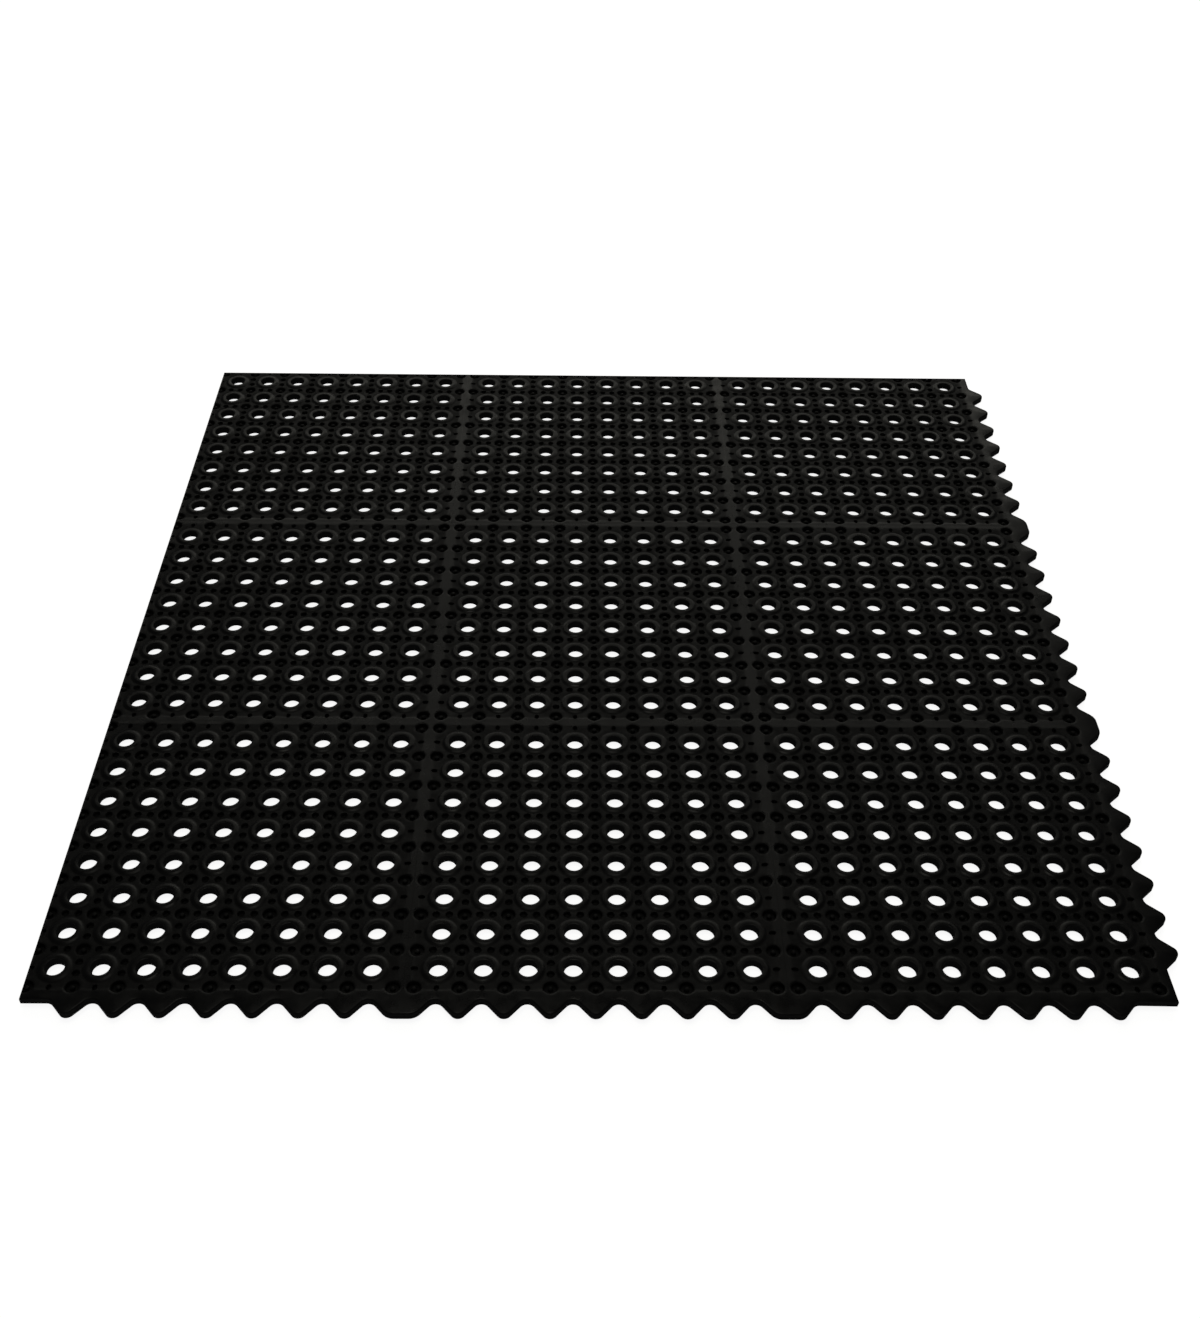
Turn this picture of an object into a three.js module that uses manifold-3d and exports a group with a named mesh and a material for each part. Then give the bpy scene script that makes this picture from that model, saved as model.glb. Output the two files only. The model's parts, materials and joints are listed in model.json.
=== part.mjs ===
// Perforated rubber floor mat, moulded in one piece, lying flat with its studs down.
// Three by three panels of round drain holes meet at flat bands where the mat can be cut.
// The left and back edges are straight. The right and front edges carry rounded teeth
// that hook a neighbouring mat. Millimetres, +Z up, back edge towards +Y, and the origin
// is under the middle of the mat, on the floor.
import * as THREE from 'three';
import { mergeVertices } from 'three/addons/utils/BufferGeometryUtils.js';
import Module from 'manifold-3d';

const wasm = await Module();
wasm.setup();

// Layout of the holes
const panelsPerSide = 3;
const holesPerPanelSide = 8;
const holePitch = 36;
const bandWidth = 16.5;
const holeDiameter = 16.6;
const holeSides = 6;

// Borders, measured from the middle of the outer holes
const plainMargin = 20.5;
const rootMargin = 29.8;

// Teeth
const toothDepth = 13.5;
const toothTipRadius = 6.5;
const toothRootRadius = 7;
const bandToothRadius = 12;
const cornerStub = 0.5;
const arcSteps = 2;

// Section
const webThickness = 7.5;
const studHeight = 4.5;
const studTopDiameter = 13;
const studTipDiameter = 11;
const studSides = 4;
const studStep = 2;
const studRoot = 1;

// Worked out from the sizes above
const panelHoleSpan = (holesPerPanelSide - 1) * holePitch;
const panelPitch = panelHoleSpan + holePitch + bandWidth;
const holeSpan = (panelsPerSide - 1) * panelPitch + panelHoleSpan;
const matSide = plainMargin + holeSpan + rootMargin + toothDepth;
const toBandMiddle = (holePitch + bandWidth) / 2;
const firstHoleX = -matSide / 2 + plainMargin;
const firstHoleY = -matSide / 2 + toothDepth + rootMargin;

const rubber = {
  color: 0x141415,
  roughness: 0.72,
  metalness: 0,
};
const columnNames = ['left', 'middle', 'right'];
const rowNames = ['front', 'centre', 'back'];

// Corner radius that gives a polygon the area of a circle.
function sameAreaRadius(diameter, sides) {
  const share = (sides / (2 * Math.PI)) * Math.sin((2 * Math.PI) / sides);
  return diameter / 2 / Math.sqrt(share);
}

// Angle of the straight line that touches the arcs of a notch and of the tooth beside it.
function flankSlope() {
  const run = holePitch / 2;
  const rise = toothDepth - toothTipRadius - toothRootRadius;
  const reach = Math.hypot(run, rise);
  return Math.atan2(rise, run) + Math.asin((toothRootRadius + toothTipRadius) / reach);
}

// One flank of a tooth as [along, outward] points, from the bottom of its notch to its tip:
// a hollow arc, a straight line and a round arc.
function toothFlank(tipRadius) {
  const slope = flankSlope();
  const bothRadii = toothRootRadius + tipRadius;
  const straight = (toothDepth - bothRadii * (1 - Math.cos(slope))) / Math.sin(slope);
  const run = bothRadii * Math.sin(slope) + straight * Math.cos(slope);
  const points = [];
  for (let step = 0; step <= arcSteps; step += 1) {
    const angle = (slope * step) / arcSteps;
    points.push([toothRootRadius * Math.sin(angle), toothRootRadius * (1 - Math.cos(angle))]);
  }
  for (let step = arcSteps; step >= 0; step -= 1) {
    const angle = (slope * step) / arcSteps;
    points.push([
      run - tipRadius * Math.sin(angle),
      toothDepth - tipRadius * (1 - Math.cos(angle)),
    ]);
  }
  return points;
}

// A panel's toothed side as [along, outward] points. A notch lies in line with each hole.
// A tooth stands between two holes, and a wider one over each band, shared by two panels.
function toothedSide(firstHole, start, end, bandAtStart, bandAtEnd, stubAtEnd) {
  const narrow = toothFlank(toothTipRadius);
  const wide = toothFlank(bandToothRadius);
  const points = [bandAtStart ? [start, toothDepth] : [start, 0]];
  for (let hole = 0; hole < holesPerPanelSide; hole += 1) {
    const notch = firstHole + hole * holePitch;
    const first = hole === 0;
    const last = hole === holesPerPanelSide - 1;
    const falling = (first ? wide : narrow).slice(1).reverse();
    if (!first || bandAtStart) falling.forEach(([run, out]) => points.push([notch - run, out]));
    points.push([notch, 0]);
    const rising = last ? wide.slice(1) : narrow.slice(1, -1);
    if (!last || bandAtEnd) rising.forEach(([run, out]) => points.push([notch + run, out]));
  }
  points.push(bandAtEnd ? [end, toothDepth] : [end + stubAtEnd, stubAtEnd]);
  return points;
}

// The panel's outline, anticlockwise from its front left corner.
function panelOutline(column, row) {
  const last = panelsPerSide - 1;
  const x = firstHoleX + column * panelPitch;
  const y = firstHoleY + row * panelPitch;
  const left = x - (column === 0 ? plainMargin : toBandMiddle);
  const right = x + panelHoleSpan + (column === last ? rootMargin : toBandMiddle);
  const front = y - (row === 0 ? rootMargin : toBandMiddle);
  const back = y + panelHoleSpan + (row === last ? plainMargin : toBandMiddle);
  const corner = column === last && row === 0;
  const points = [];
  if (row === 0) {
    const side = toothedSide(x, left, right, column > 0, column < last, corner ? cornerStub : 0);
    side.forEach(([along, out]) => points.push([along, front - out]));
  } else {
    points.push([left, front], [right, front]);
  }
  if (column === last) {
    const side = toothedSide(y, front, back, row > 0, row < last, 0);
    side.slice(corner ? 1 : 0).forEach(([along, out]) => points.push([right + out, along]));
  } else {
    points.push([right, back]);
  }
  points.push([left, back]);
  return withoutRepeats(points).map(([px, py]) => new THREE.Vector2(px, py));
}

function withoutRepeats(points) {
  const closeEnough = 1e-6;
  return points.filter(([x, y], index) => {
    const [nextX, nextY] = points[(index + 1) % points.length];
    return Math.hypot(nextX - x, nextY - y) > closeEnough;
  });
}

// One drain hole as a closed path with its corners towards the front and the back.
function holePath(x, y) {
  const radius = sameAreaRadius(holeDiameter, holeSides);
  const points = [];
  for (let corner = 0; corner < holeSides; corner += 1) {
    const angle = Math.PI / 2 + (corner / holeSides) * 2 * Math.PI;
    points.push(new THREE.Vector2(x + radius * Math.cos(angle), y + radius * Math.sin(angle)));
  }
  return new THREE.Path(points);
}

function solidOf(geometry) {
  geometry.deleteAttribute('normal');
  geometry.deleteAttribute('uv');
  const merged = mergeVertices(geometry, 1e-4);
  const mesh = new wasm.Mesh({
    numProp: 3,
    vertProperties: merged.attributes.position.array,
    triVerts: new Uint32Array(merged.index.array),
  });
  mesh.merge();
  return new wasm.Manifold(mesh);
}

function geometryOf(solid) {
  const mesh = solid.getMesh();
  const geometry = new THREE.BufferGeometry();
  geometry.setAttribute('position', new THREE.BufferAttribute(mesh.vertProperties, 3));
  geometry.setIndex(new THREE.BufferAttribute(mesh.triVerts, 1));
  geometry.computeVertexNormals();
  return geometry;
}

// The perforated web of one panel, standing clear of the floor on the studs.
function webSolid(column, row) {
  const shape = new THREE.Shape(panelOutline(column, row));
  for (let holeColumn = 0; holeColumn < holesPerPanelSide; holeColumn += 1) {
    for (let holeRow = 0; holeRow < holesPerPanelSide; holeRow += 1) {
      const x = firstHoleX + column * panelPitch + holeColumn * holePitch;
      const y = firstHoleY + row * panelPitch + holeRow * holePitch;
      shape.holes.push(holePath(x, y));
    }
  }
  const web = new THREE.ExtrudeGeometry(shape, { depth: webThickness, bevelEnabled: false });
  web.translate(0, 0, studHeight);
  return solidOf(web);
}

// A stud under the web, a little wider at its root than at its tip.
function studSolid(x, y) {
  const tip = sameAreaRadius(studTipDiameter, studSides);
  const top = sameAreaRadius(studTopDiameter, studSides);
  const height = studHeight + studRoot;
  const stud = new THREE.CylinderGeometry(top, tip, height, studSides);
  stud.rotateY(Math.PI / studSides);
  stud.rotateX(Math.PI / 2);
  stud.translate(x, y, height / 2);
  return solidOf(stud);
}

// One panel with its studs, which stand midway between four holes, on every second such place.
function panelMesh(column, row) {
  let solid = webSolid(column, row);
  for (let across = 0; across < holesPerPanelSide - 1; across += studStep) {
    for (let along = 0; along < holesPerPanelSide - 1; along += studStep) {
      const x = firstHoleX + column * panelPitch + (across + 0.5) * holePitch;
      const y = firstHoleY + row * panelPitch + (along + 0.5) * holePitch;
      solid = solid.add(studSolid(x, y));
    }
  }
  const mesh = new THREE.Mesh(geometryOf(solid), new THREE.MeshStandardMaterial(rubber));
  mesh.name = `panel_${rowNames[row]}_${columnNames[column]}`;
  return mesh;
}

const mat = new THREE.Group();
for (let row = 0; row < panelsPerSide; row += 1) {
  for (let column = 0; column < panelsPerSide; column += 1) {
    mat.add(panelMesh(column, row));
  }
}

export default mat;
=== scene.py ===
import json
import math

import bmesh
import bpy
from mathutils import Matrix, Vector
from mathutils.geometry import delaunay_2d_cdt

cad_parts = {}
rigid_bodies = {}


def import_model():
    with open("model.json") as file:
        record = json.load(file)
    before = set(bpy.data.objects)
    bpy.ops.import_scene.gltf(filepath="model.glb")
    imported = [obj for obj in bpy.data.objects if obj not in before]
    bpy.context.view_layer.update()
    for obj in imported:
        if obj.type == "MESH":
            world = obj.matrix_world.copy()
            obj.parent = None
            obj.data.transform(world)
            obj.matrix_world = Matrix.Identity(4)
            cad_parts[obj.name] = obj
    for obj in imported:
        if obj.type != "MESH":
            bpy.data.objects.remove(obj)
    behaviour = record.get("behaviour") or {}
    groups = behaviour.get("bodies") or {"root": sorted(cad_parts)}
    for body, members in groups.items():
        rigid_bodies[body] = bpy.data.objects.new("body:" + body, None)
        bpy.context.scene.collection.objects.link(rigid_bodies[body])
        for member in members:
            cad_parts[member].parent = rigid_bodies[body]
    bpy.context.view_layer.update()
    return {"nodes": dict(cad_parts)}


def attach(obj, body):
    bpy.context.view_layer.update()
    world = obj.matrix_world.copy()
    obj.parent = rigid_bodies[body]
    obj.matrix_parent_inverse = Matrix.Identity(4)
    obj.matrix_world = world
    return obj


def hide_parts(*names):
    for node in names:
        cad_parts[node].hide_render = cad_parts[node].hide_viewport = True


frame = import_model()
scene = bpy.context.scene
scene.view_settings.view_transform = "Standard"
print("panels loaded:", len(frame["nodes"]))

# Layout of the mat in millimetres, the same as in its solid
layout = {
    "panelsPerSide": 3,
    "holesPerSide": 8,
    "pitch": 36.0,
    "bandWidth": 16.5,
    "plainMargin": 20.5,
    "rootMargin": 29.8,
    "toothDepth": 13.5,
    "toothTipRadius": 6.5,
    "toothRootRadius": 7.0,
    "bandToothRadius": 12.0,
    "cornerStub": 0.5,
    "toothArcSteps": 6,
}
mm = 0.001
tiny = 1e-6
near = 1e-3
pitch = layout["pitch"]
half = pitch / 2
lastPanel = layout["panelsPerSide"] - 1
lastHole = layout["holesPerSide"] - 1
holeSpan = lastHole * pitch
panelPitch = holeSpan + pitch + layout["bandWidth"]
toBandMiddle = (pitch + layout["bandWidth"]) / 2
matSide = (layout["plainMargin"] + lastPanel * panelPitch + holeSpan
           + layout["rootMargin"] + layout["toothDepth"])
firstHoleX = -matSide / 2 + layout["plainMargin"]
firstHoleY = -matSide / 2 + layout["toothDepth"] + layout["rootMargin"]
columnNames = ["left", "middle", "right"]
rowNames = ["front", "centre", "back"]

# Walking face in millimetres. A profile lists radius, share of the surrounding height, and height
# added to that share, from the middle outwards.
relief = {
    "groundHeight": 10.85,
    "flatHeight": 11.3,
    "bandRamp": [1.3, 2.7, 4.0],
    "plainRamp": [0.4, 0.8, 1.2],
    "plainFade": (0.3, 1.2),
    "ring": [(8.2, 0, 11.8), (8.7, 0, 11.95), (10.0, 0, 12.0), (11.2, 0, 12.0),
             (12.4, 0, 11.75), (13.7, 0, 10.95), (14.8, 0.5, 5.1), (15.9, 1, 0)],
    "ringSteps": 24,
    "socket": [(0, 0, 10.1), (1.1, 0, 10.05), (1.8, 0, 9.6), (2.4, 0, 7.4),
               (5.1, 0, 7.2), (5.9, 1, -0.4), (6.8, 1, 0.05), (8.0, 1, 0)],
    "socketSteps": 16,
    "dimple": [(0, 0, 7.6), (0.74, 0, 7.9), (0.9, 1, -0.3), (1, 1, 0)],
    "dimpleSteps": 8,
    "dimpleRadius": 3.5,
    "dimpleOffset": 5.4,
    "bandDimple": (18.7, 3.4, 2.2),
    "plainDimple": (17.7, 1.6, 1.8),
}

# Underside, holes and edges in millimetres, and the angle past which an edge is left crisp
section = {
    "undersideHeight": 4.5,
    "holeFoot": 7.6,
    "holeChamfer": 0.1,
    "stud": [(6.5, 4.5), (6.0, 4.0), (5.6, 0.5), (5.1, 0.0)],
    "studSteps": 16,
    "edgeChamfer": 0.3,
    "edgeSteps": 3,
    "edgeRound": 1.6,
    "edgeReach": {"tooth": 1.6, "plain": 0.8, "seam": 0.0},
    "edgeClear": 0.9,
    "fillWeld": 1e-4,
    "pieceWeld": 0.01,
    "crispAngle": 38,
}


def heightOn(profile, reach, base):
    share, added = profile[-1][1:]
    for (r0, s0, a0), (r1, s1, a1) in zip(profile, profile[1:]):
        if reach <= r1:
            t = max(0.0, reach - r0) / (r1 - r0)
            share = s0 + (s1 - s0) * t
            added = a0 + (a1 - a0) * t
            break
    return share * base + added


# What lies past each side of a panel's field of holes: plain margin, band or teeth
def panelSides(column, row):
    return {
        "left": "plain" if column == 0 else "seam",
        "right": "tooth" if column == lastPanel else "seam",
        "front": "tooth" if row == 0 else "seam",
        "back": "plain" if row == lastPanel else "seam",
    }


def pastSides(u, v):
    far = holeSpan + half
    return {"left": -half - u, "right": u - far, "front": -half - v, "back": v - far}


def smooth(share):
    share = min(1.0, max(0.0, share))
    return share * share * (3 - 2 * share)


# Height of the face between rings, sockets and dimples, which rises again outside the holes
def baseHeight(u, v, sides):
    rise = 0.0
    for side, past in pastSides(u, v).items():
        ramp = relief["plainRamp" if sides[side] == "plain" else "bandRamp"]
        rise = max(rise, smooth(past / ramp[-1]))
    return relief["groundHeight"] + (relief["flatHeight"] - relief["groundHeight"]) * rise


# Dimples round one hole as middle and half sizes: two on an edge shared with another hole, else one
def dimplesRound(i, j, sides):
    found = []
    u, v = i * pitch, j * pitch
    radius, offset = relief["dimpleRadius"], relief["dimpleOffset"]
    ends = [("left", -1, 0, i == 0), ("right", 1, 0, i == lastHole),
            ("front", 0, -1, j == 0), ("back", 0, 1, j == lastHole)]
    for side, du, dv, outer in ends:
        if outer:
            reach, along, across = relief["plainDimple" if sides[side] == "plain" else "bandDimple"]
            sizes = (along, across) if du else (across, along)
            found.append((u + du * reach, v + dv * reach, *sizes))
        else:
            for way in (-offset, offset):
                found.append((u + du * half + dv * way, v + dv * half + du * way, radius, radius))
    return found


def nearestHole(w):
    return min(lastHole, max(0, round(w / pitch)))


def nearestCorner(w):
    return (min(lastHole, max(-1, round(w / pitch - 0.5))) + 0.5) * pitch


def faceHeight(u, v, sides):
    base = baseHeight(u, v, sides)
    i, j = nearestHole(u), nearestHole(v)
    toHole = math.hypot(u - i * pitch, v - j * pitch)
    if toHole <= relief["ring"][-1][0]:
        return heightOn(relief["ring"], toHole, base)
    toSocket = math.hypot(u - nearestCorner(u), v - nearestCorner(v))
    height = heightOn(relief["socket"], toSocket, base)
    for cu, cv, su, sv in dimplesRound(i, j, sides):
        away = math.hypot((u - cu) / su, (v - cv) / sv)
        if away < 1:
            height = heightOn(relief["dimple"], away, base)
    fade = 1.0
    start, end = relief["plainFade"]
    for side, past in pastSides(u, v).items():
        if sides[side] == "plain":
            fade = min(fade, max(0.0, 1 - max(0.0, past - start) / (end - start)))
    return base + (height - base) * fade


def circle(cu, cv, ru, rv, steps):
    turns = [2 * math.pi * k / steps for k in range(steps)]
    return [(cu + ru * math.cos(t), cv + rv * math.sin(t)) for t in turns]


# Triangles between closed loops that are in the first loop and in none of the next few
def fillBetween(outer, cutouts, creases, points):
    loops = [outer] + cutouts + creases
    coords = [Vector(p) for loop in loops for p in loop] + [Vector(p) for p in points]
    faces, edges, start = [], [], 0
    for index, loop in enumerate(loops):
        ids = list(range(start, start + len(loop)))
        start += len(loop)
        if index <= len(cutouts):
            faces.append(ids)
        else:
            edges += list(zip(ids, ids[1:] + ids[:1]))
    made = delaunay_2d_cdt(coords, edges, faces, 0, section["fillWeld"], True)
    kept = [f for f, origin in zip(made[2], made[5]) if 0 in origin and len(origin) == 1]
    used = sorted({k for f in kept for k in f})
    place = {k: n for n, k in enumerate(used)}
    return [tuple(made[0][k]) for k in used], [[place[k] for k in f] for f in kept]


class Shell:
    # Collects corners and faces, then makes one mesh of them
    def __init__(self):
        self.corners = []
        self.faces = []

    def add(self, corners, faces, flip=False):
        start = len(self.corners)
        self.corners += corners
        for face in faces:
            ids = [start + k for k in face]
            self.faces.append(ids[::-1] if flip else ids)

    # A closed or open strip between stacked rows of corners, facing right of the rows' direction
    def strip(self, rows, closed=True):
        count = len(rows[0])
        for low, high in zip(rows, rows[1:]):
            steps = range(count if closed else count - 1)
            faces = [(k, (k + 1) % count, count + (k + 1) % count, count + k) for k in steps]
            self.add(low + high, faces)

    def mesh(self, name, shift):
        made = bpy.data.meshes.new(name)
        corners = [((x + shift[0]) * mm, (y + shift[1]) * mm, z * mm) for x, y, z in self.corners]
        made.from_pydata(corners, [], self.faces)
        made.update()
        return made


# The part of a stud's side and tip that belongs to one quarter turn round its middle
def addStud(shell, cu, cv, quarter):
    steps = section["studSteps"] // 4
    turns = [(quarter + k / steps) * math.pi / 2 for k in range(steps + 1)]
    rows = [[(cu + r * math.cos(t), cv + r * math.sin(t), z) for t in turns]
            for r, z in reversed(section["stud"])]
    shell.strip(rows, closed=False)
    tip = [(cu, cv, section["stud"][-1][1])] + rows[0]
    shell.add(tip, [(0, k + 1, k) for k in range(1, steps + 1)])


def hasStud(u, v, sides):
    places = pastSides(u, v).items()
    return not any(sides[side] == "plain" and past > -half for side, past in places)


# One square of the field with its drain hole, open where it joins its neighbours
def cellMesh(name, i, j, sides):
    shell = Shell()
    u, v = i * pitch, j * pitch
    square = [(u - half, v - half), (u + half, v - half), (u + half, v + half), (u - half, v + half)]
    rings = [circle(u, v, r, r, relief["ringSteps"]) for r, _, _ in relief["ring"]]
    creases = rings[1:]
    for cu, cv in square:
        creases += [circle(cu, cv, r, r, relief["socketSteps"]) for r, _, _ in relief["socket"][1:]]
    dimples = dimplesRound(i, j, sides)
    for cu, cv, su, sv in dimples:
        creases += [circle(cu, cv, r * su, r * sv, relief["dimpleSteps"])
                    for r, _, _ in relief["dimple"][1:]]
    middles = square + [(cu, cv) for cu, cv, _, _ in dimples]
    points, faces = fillBetween(square, rings[:1], creases, middles)
    shell.add([(x, y, faceHeight(x, y, sides)) for x, y in points], faces)
    # hole wall
    low = section["undersideHeight"]
    foot, chamfer = section["holeFoot"], section["holeChamfer"]
    narrowest = circle(u, v, foot, foot, relief["ringSteps"])
    bottom = circle(u, v, foot + chamfer, foot + chamfer, relief["ringSteps"])
    heights = [(bottom, low), (narrowest, low + chamfer), (rings[0], relief["ring"][0][2])]
    rows = [[(x, y, z) for x, y in reversed(loop)] for loop, z in heights]
    shell.strip(rows)
    # underside and studs
    studs = [(cu, cv) for cu, cv in square if hasStud(cu, cv, sides)]
    root = section["stud"][0][0]
    cuts = [circle(cu, cv, root, root, section["studSteps"]) for cu, cv in studs]
    points, faces = fillBetween(square, [bottom] + cuts, [], [])
    shell.add([(x, y, low) for x, y in points], faces, flip=True)
    for quarter, (cu, cv) in enumerate(square):
        if (cu, cv) in studs:
            addStud(shell, cu, cv, quarter)
    return shell.mesh(name, (-u, -v))


# One flank of a tooth as along and outward, from the bottom of its notch to its tip
def toothFlank(tip):
    root, depth = layout["toothRootRadius"], layout["toothDepth"]
    both = root + layout["toothTipRadius"]
    rise = depth - both
    slope = math.atan2(rise, half) + math.asin(both / math.hypot(half, rise))
    straight = (depth - (root + tip) * (1 - math.cos(slope))) / math.sin(slope)
    run = (root + tip) * math.sin(slope) + straight * math.cos(slope)
    steps = layout["toothArcSteps"]
    turns = [slope * k / steps for k in range(steps + 1)]
    hollow = [(root * math.sin(t), root * (1 - math.cos(t))) for t in turns]
    crown = [(run - tip * math.sin(t), depth - tip * (1 - math.cos(t))) for t in reversed(turns)]
    return hollow + crown


def toothedSide(start, end, bandAtStart, bandAtEnd, stub):
    narrow, wide = toothFlank(layout["toothTipRadius"]), toothFlank(layout["bandToothRadius"])
    points = [(start, layout["toothDepth"] if bandAtStart else 0)]
    for hole in range(lastHole + 1):
        notch = hole * pitch
        if hole > 0 or bandAtStart:
            falling = wide if hole == 0 else narrow
            points += [(notch - run, out) for run, out in reversed(falling[1:])]
        points.append((notch, 0))
        if hole < lastHole or bandAtEnd:
            rising = wide[1:] if hole == lastHole else narrow[1:-1]
            points += [(notch + run, out) for run, out in rising]
    points.append((end, layout["toothDepth"]) if bandAtEnd else (end + stub, stub))
    return points


# A panel's outline from its front left corner, anticlockwise, and the kind of each edge
def panelOutline(sides):
    margins = {"plain": layout["plainMargin"], "seam": toBandMiddle, "tooth": layout["rootMargin"]}
    left, front = -margins[sides["left"]], -margins[sides["front"]]
    right, back = holeSpan + margins[sides["right"]], holeSpan + margins[sides["back"]]
    corner = sides["front"] == "tooth" and sides["right"] == "tooth"
    points = [(left, front), (right, front)]
    if sides["front"] == "tooth":
        stub = layout["cornerStub"] if corner else 0
        side = toothedSide(left, right, sides["left"] == "seam", sides["right"] == "seam", stub)
        points = [(along, front - out) for along, out in side]
    if sides["right"] == "tooth":
        side = toothedSide(front, back, sides["front"] == "seam", sides["back"] == "seam", 0)
        if sides["front"] == "seam":
            points.pop()
        points += [(right + out, along) for along, out in side[1 if corner else 0:]]
    else:
        points.append((right, back))
    points.append((left, back))
    kept = [p for p, q in zip(points, points[1:] + points[:1]) if math.dist(p, q) > tiny]
    kinds = []
    for p, q in zip(kept, kept[1:] + kept[:1]):
        kind = "tooth"
        lines = [("left", 0, left), ("right", 0, right), ("front", 1, front), ("back", 1, back)]
        for side, axis, place in lines:
            onLine = abs(p[axis] - place) < tiny and abs(q[axis] - place) < tiny
            if onLine and sides[side] != "tooth":
                kind = sides[side]
        kinds.append(kind)
    return kept, kinds


# The outline moved inwards, by its own distance for each kind of edge
def insetOutline(points, kinds, reach):
    normals = []
    for (x0, y0), (x1, y1) in zip(points, points[1:] + points[:1]):
        length = math.hypot(x1 - x0, y1 - y0)
        normals.append(((y0 - y1) / length, (x1 - x0) / length))
    moved = []
    for k, (x, y) in enumerate(points):
        (ax, ay), (bx, by) = normals[k - 1], normals[k]
        a, b = reach[kinds[k - 1]], reach[kinds[k]]
        cross = ax * by - ay * bx
        if abs(cross) < near:
            moved.append((x + bx * b, y + by * b))
        else:
            moved.append((x + (a * by - b * ay) / cross, y + (ax * b - bx * a) / cross))
    return moved


# Everything of a panel outside its field of holes: margins, half bands and teeth
def borderMesh(name, sides):
    shell = Shell()
    outline, kinds = panelOutline(sides)
    far = holeSpan + half
    square = [(-half, -half), (far, -half), (far, far), (-half, far)]
    low, top, size = section["undersideHeight"], relief["flatHeight"], section["edgeRound"]
    chamfer = section["edgeChamfer"]
    reaches = [({"tooth": chamfer, "plain": chamfer, "seam": 0.0}, low),
               ({"tooth": 0.0, "plain": 0.0, "seam": 0.0}, low + chamfer)]
    for k in range(section["edgeSteps"] + 1):
        turn = math.pi / 2 * k / section["edgeSteps"]
        share = 1 - math.cos(turn)
        reach = {kind: r * share for kind, r in section["edgeReach"].items()}
        reaches.append((reach, top - size * (1 - math.sin(turn))))
    loops = [insetOutline(outline, kinds, reach) for reach, _ in reaches]
    shell.strip([[(x, y, z) for x, y in loop] for loop, (_, z) in zip(loops, reaches)])
    # walking face, with every crease kept inside the straight edges
    creases, middles = [], []
    kept = layout["plainMargin"] - half - section["edgeClear"]
    limits = {side: kept if kind == "plain" else pitch for side, kind in sides.items()}

    def held(loop):
        return [(min(max(x, -half - limits["left"]), far + limits["right"]),
                 min(max(y, -half - limits["front"]), far + limits["back"])) for x, y in loop]

    for step in range(3):
        ramp = {side: relief["plainRamp" if kind == "plain" else "bandRamp"][step]
                for side, kind in sides.items()}
        creases.append([(-half - ramp["left"], -half - ramp["front"]),
                        (far + ramp["right"], -half - ramp["front"]),
                        (far + ramp["right"], far + ramp["back"]),
                        (-half - ramp["left"], far + ramp["back"])])
    places = range(lastHole + 2)
    corners = [(i * pitch - half, j * pitch - half) for i in places for j in places
               if i in (0, lastHole + 1) or j in (0, lastHole + 1)]
    middles += corners
    for cu, cv in corners:
        creases += [held(circle(cu, cv, r, r, relief["socketSteps"]))
                    for r, _, _ in relief["socket"][1:]]
    for i in range(lastHole + 1):
        for j in range(lastHole + 1):
            if i in (0, lastHole) or j in (0, lastHole):
                for cu, cv, su, sv in dimplesRound(i, j, sides):
                    within = [-half + near < c - s and c + s < far - near
                              for c, s in ((cu, su), (cv, sv))]
                    if not all(within):
                        creases += [held(circle(cu, cv, r * su, r * sv, relief["dimpleSteps"]))
                                    for r, _, _ in relief["dimple"][1:]]
                        middles.append((cu, cv))
    points, faces = fillBetween(loops[-1], [square], creases, middles)
    shell.add([(x, y, faceHeight(x, y, sides)) for x, y in points], faces)
    # underside and studs
    studs = [(cu, cv) for cu, cv in corners if hasStud(cu, cv, sides)]
    root = section["stud"][0][0]
    cuts = [circle(cu, cv, root, root, section["studSteps"]) for cu, cv in studs]
    points, faces = fillBetween(loops[0], [square] + cuts, [], corners)
    shell.add([(x, y, low) for x, y in points], faces, flip=True)
    for cu, cv in studs:
        for quarter in range(4):
            turn = (quarter + 0.5) * math.pi / 2
            probe = pastSides(cu + math.cos(turn), cv + math.sin(turn))
            if max(probe.values()) > 0:
                addStud(shell, cu, cv, quarter)
    return shell.mesh(name, (0, 0))


class Value:
    # A socket in a node tree, so that sums written on it add Math nodes
    def __init__(self, tree, output):
        self.tree = tree
        self.output = output

    def math(self, operation, first, second):
        return makeNode(self.tree, "ShaderNodeMath", {"operation": operation}, {0: first, 1: second})

    def __add__(self, other):
        return self.math("ADD", self, other)

    def __radd__(self, other):
        return self.math("ADD", other, self)

    def __sub__(self, other):
        return self.math("SUBTRACT", self, other)

    def __mul__(self, other):
        return self.math("MULTIPLY", self, other)

    def __rmul__(self, other):
        return self.math("MULTIPLY", other, self)

    def __truediv__(self, other):
        return self.math("DIVIDE", self, other)


def makeNode(tree, kind, settings=None, inputs=None, output=0):
    node = tree.nodes.new(kind)
    for name, value in (settings or {}).items():
        setattr(node, name, value)
    for key, value in (inputs or {}).items():
        if isinstance(value, Value):
            tree.links.new(value.output, node.inputs[key])
        else:
            node.inputs[key].default_value = value
    return Value(tree, node.outputs[output]) if len(node.outputs) else None


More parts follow.
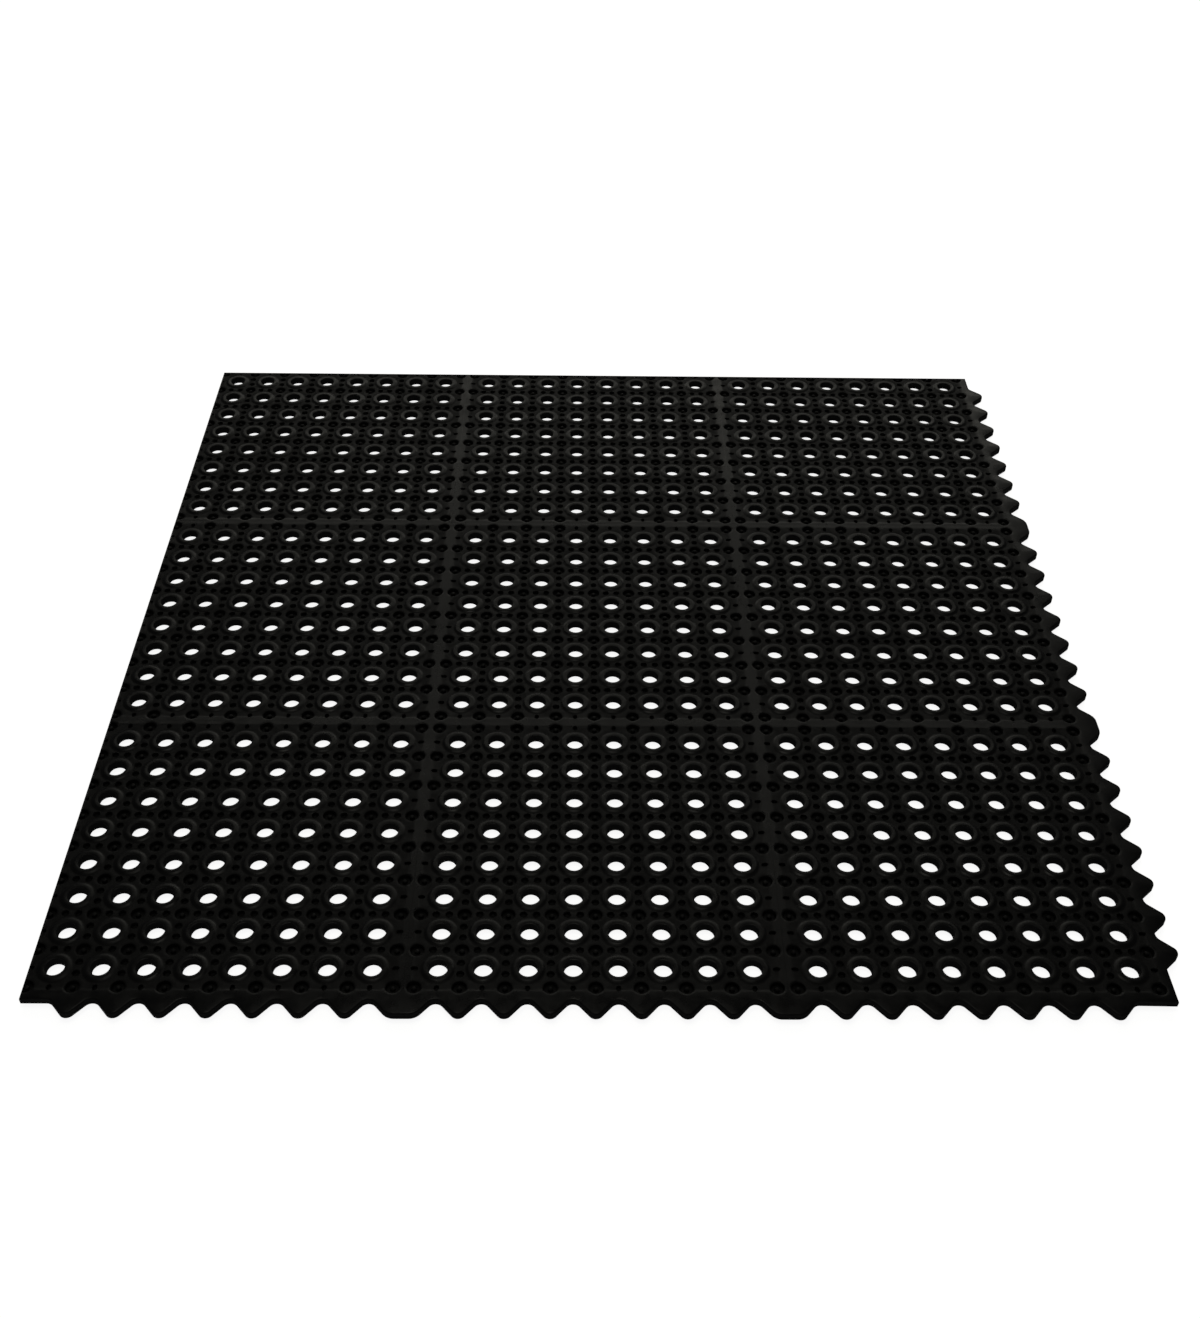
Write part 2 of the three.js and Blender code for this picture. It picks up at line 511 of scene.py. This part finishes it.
# Rubber. Lengths are in metres, as Object coordinates are. The field is rough and dark, and the crests
# and bands, higher than crestFrom, are smoother and paler, the paler colour being painted sheen.
# Recesses lower than deepFrom are darker, which is painted shade. The random bloom is the rubber's own
# tone.
rubber = {
    "recessShadeColour": (0.0014, 0.0014, 0.0013, 1),
    "faceColour": (0.0032, 0.0032, 0.0031, 1),
    "bloomAndSheenColour": (0.0060, 0.0060, 0.0058, 1),
    "roughness": 0.64,
    "crestPolish": 0.31,
    "crestFrom": (0.0108, 0.0113),
    "deepFrom": (0.0075, 0.0104),
    "crestSheenShare": 0.15,
    "specular": 0.25,
    "grainSize": 0.0006,
    "grainDetail": 2.0,
    "grainDepth": 0.00008,
    "grainStrength": 0.5,
    "mottleSize": 0.012,
    "mottleDetail": 3.0,
    "mottleFrom": (0.35, 0.7),
    "mottleRoughness": 0.14,
    "bloomSize": 0.16,
    "bloomDetail": 4.0,
    "bloomFrom": (0.45, 0.75),
    "bloomRoughness": 0.08,
    "bloomShare": 0.6,
}


def rubberMaterial():
    material = bpy.data.materials.new("rubber")
    material.use_nodes = True
    tree = material.node_tree
    tree.nodes.clear()
    place = makeNode(tree, "ShaderNodeTexCoord", output="Object")
    height = makeNode(tree, "ShaderNodeSeparateXYZ", None, {0: place}, "Z")

    def noise(kind):
        inputs = {"Vector": place, "Scale": 1 / rubber[kind + "Size"], "Detail": rubber[kind + "Detail"]}
        return makeNode(tree, "ShaderNodeTexNoise", None, inputs, "Fac")

    def remap(value, kind):
        low, high = rubber[kind + "From"]
        return makeNode(tree, "ShaderNodeMapRange", {"interpolation_type": "SMOOTHSTEP"},
                        {"Value": value, "From Min": low, "From Max": high})

    def mix(share, first, second):
        return makeNode(tree, "ShaderNodeMix", {"data_type": "RGBA"},
                        {0: share, 6: first, 7: second}, 2)

    grain = noise("grain")
    mottle = remap(noise("mottle"), "mottle")
    bloom = remap(noise("bloom"), "bloom")
    crest = remap(height, "crest")
    deep = remap(height, "deep")
    # Painted shade: recesses lower than deepFrom take the darker recess colour
    colour = mix(deep, rubber["recessShadeColour"], rubber["faceColour"])
    # Paler colour from the random bloom, the rubber's own tone, and painted sheen on crests and bands
    # above crestFrom
    bloomAndSheenShare = bloom * mottle * rubber["bloomShare"] + crest * rubber["crestSheenShare"]
    colour = mix(bloomAndSheenShare, colour, rubber["bloomAndSheenColour"])
    rough = rubber["roughness"] + rubber["mottleRoughness"] * (mottle - 0.5)
    rough = rough + rubber["bloomRoughness"] * bloom - rubber["crestPolish"] * crest
    bump = makeNode(tree, "ShaderNodeBump", None,
                    {"Strength": rubber["grainStrength"], "Distance": rubber["grainDepth"],
                     "Height": grain}, "Normal")
    shader = makeNode(tree, "ShaderNodeBsdfPrincipled", None,
                      {"Base Color": colour, "Roughness": rough, "Metallic": 0.0,
                       "Specular IOR Level": rubber["specular"], "Normal": bump})
    makeNode(tree, "ShaderNodeOutputMaterial", None, {"Surface": shader})
    return material


# Nodes that lay the nine kinds of cell out in a square grid and weld them to the border
def fieldTree(material):
    tree = bpy.data.node_groups.new("drainHoleField", "GeometryNodeTree")
    face = tree.interface
    face.new_socket("Border", in_out="INPUT", socket_type="NodeSocketGeometry")
    sizes = [("Cells", "NodeSocketCollection"), ("Hole Pitch", "NodeSocketFloat"),
             ("Holes Per Side", "NodeSocketInt"), ("First Hole", "NodeSocketVector"),
             ("Weld Distance", "NodeSocketFloat"), ("Rubber", "NodeSocketMaterial")]
    for name, kind in sizes:
        face.new_socket(name, in_out="INPUT", socket_type=kind)
    face.new_socket("Panel", in_out="OUTPUT", socket_type="NodeSocketGeometry")
    given = tree.nodes.new("NodeGroupInput")
    border, cells, step, count, first, weld, finish = [Value(tree, given.outputs[k]) for k in range(7)]
    span = (count - 1) * step
    grid = makeNode(tree, "GeometryNodeMeshGrid", None, {0: span, 1: span, 2: count, 3: count})
    centre = makeNode(tree, "ShaderNodeCombineXYZ", None, {0: span * 0.5, 1: span * 0.5, 2: 0.0})
    shift = makeNode(tree, "ShaderNodeVectorMath", {"operation": "ADD"}, {0: centre, 1: first})
    grid = makeNode(tree, "GeometryNodeSetPosition", None, {"Geometry": grid, "Offset": shift})
    index = makeNode(tree, "GeometryNodeInputIndex")

    def classOf(place):
        start = place.math("MINIMUM", place, 1)
        return start + place.math("MAXIMUM", place - (count - 2), 0)

    column = index.math("FLOOR", (index + 0.5) / count, 0)
    kind = classOf(index - column * count) * 3 + classOf(column)
    parts = makeNode(tree, "GeometryNodeCollectionInfo", {"transform_space": "RELATIVE"},
                     {"Collection": cells, "Separate Children": True, "Reset Children": True})
    laid = makeNode(tree, "GeometryNodeInstanceOnPoints", None,
                    {"Points": grid, "Instance": parts, "Pick Instance": True,
                     "Instance Index": kind})
    real = makeNode(tree, "GeometryNodeRealizeInstances", None, {"Geometry": laid})
    join = tree.nodes.new("GeometryNodeJoinGeometry")
    tree.links.new(real.output, join.inputs[0])
    tree.links.new(border.output, join.inputs[0])
    whole = makeNode(tree, "GeometryNodeMergeByDistance", None,
                     {"Geometry": Value(tree, join.outputs[0]), "Distance": weld})
    whole = makeNode(tree, "GeometryNodeRealizeInstances", None, {"Geometry": whole})
    done = makeNode(tree, "GeometryNodeSetMaterial", None, {"Geometry": whole, "Material": finish})
    out = tree.nodes.new("NodeGroupOutput")
    tree.links.new(done.output, out.inputs[0])
    return tree


def setInput(modifier, name, value):
    for item in modifier.node_group.interface.items_tree:
        if item.name == name and item.in_out == "INPUT":
            modifier[item.identifier] = value


# Smooth over rings and rounded edges, crisp at hole rims, walls and studs
def shadeByAngle(mesh, degrees):
    work = bmesh.new()
    work.from_mesh(mesh)
    for polygon in work.faces:
        polygon.smooth = True
    loose = 0
    for edge in work.edges:
        if len(edge.link_faces) != 2:
            loose += 1
        edge.smooth = len(edge.link_faces) == 2 and edge.calc_face_angle(0) < math.radians(degrees)
    work.to_mesh(mesh)
    work.free()
    return loose


def buildPanel(column, row, tree, material):
    name = f"panel_{rowNames[row]}_{columnNames[column]}"
    sides = panelSides(column, row)
    cells = bpy.data.collections.new("cells")
    scene.collection.children.link(cells)
    for kind in range(9):
        i, j = [(0, lastHole // 2, lastHole)[k] for k in (kind % 3, kind // 3)]
        cell = bpy.data.objects.new(f"cell{kind}", cellMesh(f"cell{kind}", i, j, sides))
        cells.objects.link(cell)
    origin = Vector((firstHoleX + column * panelPitch, firstHoleY + row * panelPitch, 0)) * mm
    edge = borderMesh("border", sides)
    edge.transform(Matrix.Translation(origin))
    panel = bpy.data.objects.new(name + "_face", edge)
    scene.collection.objects.link(panel)
    field = panel.modifiers.new("field", "NODES")
    field.node_group = tree
    setInput(field, "Cells", cells)
    setInput(field, "Hole Pitch", pitch * mm)
    setInput(field, "Holes Per Side", lastHole + 1)
    setInput(field, "First Hole", origin)
    setInput(field, "Weld Distance", section["pieceWeld"] * mm)
    setInput(field, "Rubber", material)
    graph = bpy.context.evaluated_depsgraph_get()
    whole = bpy.data.meshes.new_from_object(panel.evaluated_get(graph))
    panel.modifiers.clear()
    panel.data = whole
    for cell in list(cells.objects):
        bpy.data.objects.remove(cell)
    bpy.data.collections.remove(cells)
    loose = shadeByAngle(whole, section["crispAngle"])
    print(name, "triangles", sum(len(p.vertices) - 2 for p in whole.polygons), "open edges", loose)
    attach(panel, "root")
    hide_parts(name)
    return panel


material = rubberMaterial()
tree = fieldTree(material)
for row in range(lastPanel + 1):
    for column in range(lastPanel + 1):
        buildPanel(column, row, tree, material)
print("panels dressed")

# Floor, lights and camera, in metres and watts
studio = {
    "floorSize": 14.0,
    "floorColour": (0.86, 0.86, 0.86, 1),
    "floorGlow": 1.06,
    "floorRoughness": 0.9,
    "skyColour": (1.0, 1.0, 1.0, 1),
    "skyStrength": 0.05,
    "lampColour": (1.0, 0.98, 0.88),
    "lights": [
        ("backLight", (0.1, 2.7, 1.2), (0, 0.1, 0), (3.0, 0.9), 7.0),
        ("middleLight", (0.1, 1.6, 1.9), (0, -0.1, 0), (2.8, 0.5), 2.9),
        ("topLight", (-0.2, -0.2, 2.6), (0, 0, 0), (1.0, 1.0), 4.2),
    ],
}


def floorMaterial():
    made = bpy.data.materials.new("floorPaint")
    made.use_nodes = True
    shader = made.node_tree.nodes["Principled BSDF"]
    shader.inputs["Base Color"].default_value = studio["floorColour"]
    shader.inputs["Roughness"].default_value = studio["floorRoughness"]
    shader.inputs["Emission Color"].default_value = studio["floorColour"]
    shader.inputs["Emission Strength"].default_value = studio["floorGlow"]
    return made


def addFloor():
    size = studio["floorSize"] / 2
    mesh = bpy.data.meshes.new("floor")
    mesh.from_pydata([(-size, -size, 0), (size, -size, 0), (size, size, 0), (-size, size, 0)],
                     [], [(0, 1, 2, 3)])
    mesh.materials.append(floorMaterial())
    floor = bpy.data.objects.new("floor", mesh)
    scene.collection.objects.link(floor)
    floor.visible_glossy = False


def addLights():
    world = bpy.data.worlds.new("sky")
    scene.world = world
    world.use_nodes = True
    sky = world.node_tree.nodes["Background"]
    sky.inputs["Color"].default_value = studio["skyColour"]
    sky.inputs["Strength"].default_value = studio["skyStrength"]
    for name, place, aim, size, power in studio["lights"]:
        lamp = bpy.data.lights.new(name, "AREA")
        lamp.shape = "RECTANGLE"
        lamp.size, lamp.size_y = size
        lamp.energy = power
        lamp.color = studio["lampColour"]
        holder = bpy.data.objects.new(name, lamp)
        holder.location = place
        towards = Vector(aim) - Vector(place)
        holder.rotation_euler = towards.to_track_quat("-Z", "Y").to_euler()
        scene.collection.objects.link(holder)


# Metres, degrees and a lens in millimetres
camera = {
    "place": (-0.02729, -1.14106, 1.01050),
    "turn": 1.1498,
    "tilt": 42.5595,
    "roll": 1.1010,
    "lens": 41.2493,
}


def addCamera():
    turn, tilt, roll = [math.radians(camera[key]) for key in ("turn", "tilt", "roll")]
    forward = Vector((math.sin(turn) * math.cos(tilt), math.cos(turn) * math.cos(tilt),
                      -math.sin(tilt)))
    level = forward.cross(Vector((0, 0, 1))).normalized()
    upright = level.cross(forward)
    right = level * math.cos(roll) + upright * math.sin(roll)
    up = upright * math.cos(roll) - level * math.sin(roll)
    lens = bpy.data.cameras.new("camera")
    lens.sensor_width = 36
    lens.lens = camera["lens"]
    holder = bpy.data.objects.new("camera", lens)
    axes = Matrix((right, up, -forward)).transposed().to_4x4()
    holder.matrix_world = Matrix.Translation(camera["place"]) @ axes
    scene.collection.objects.link(holder)
    scene.camera = holder


addFloor()
addLights()
addCamera()
print("studio set")
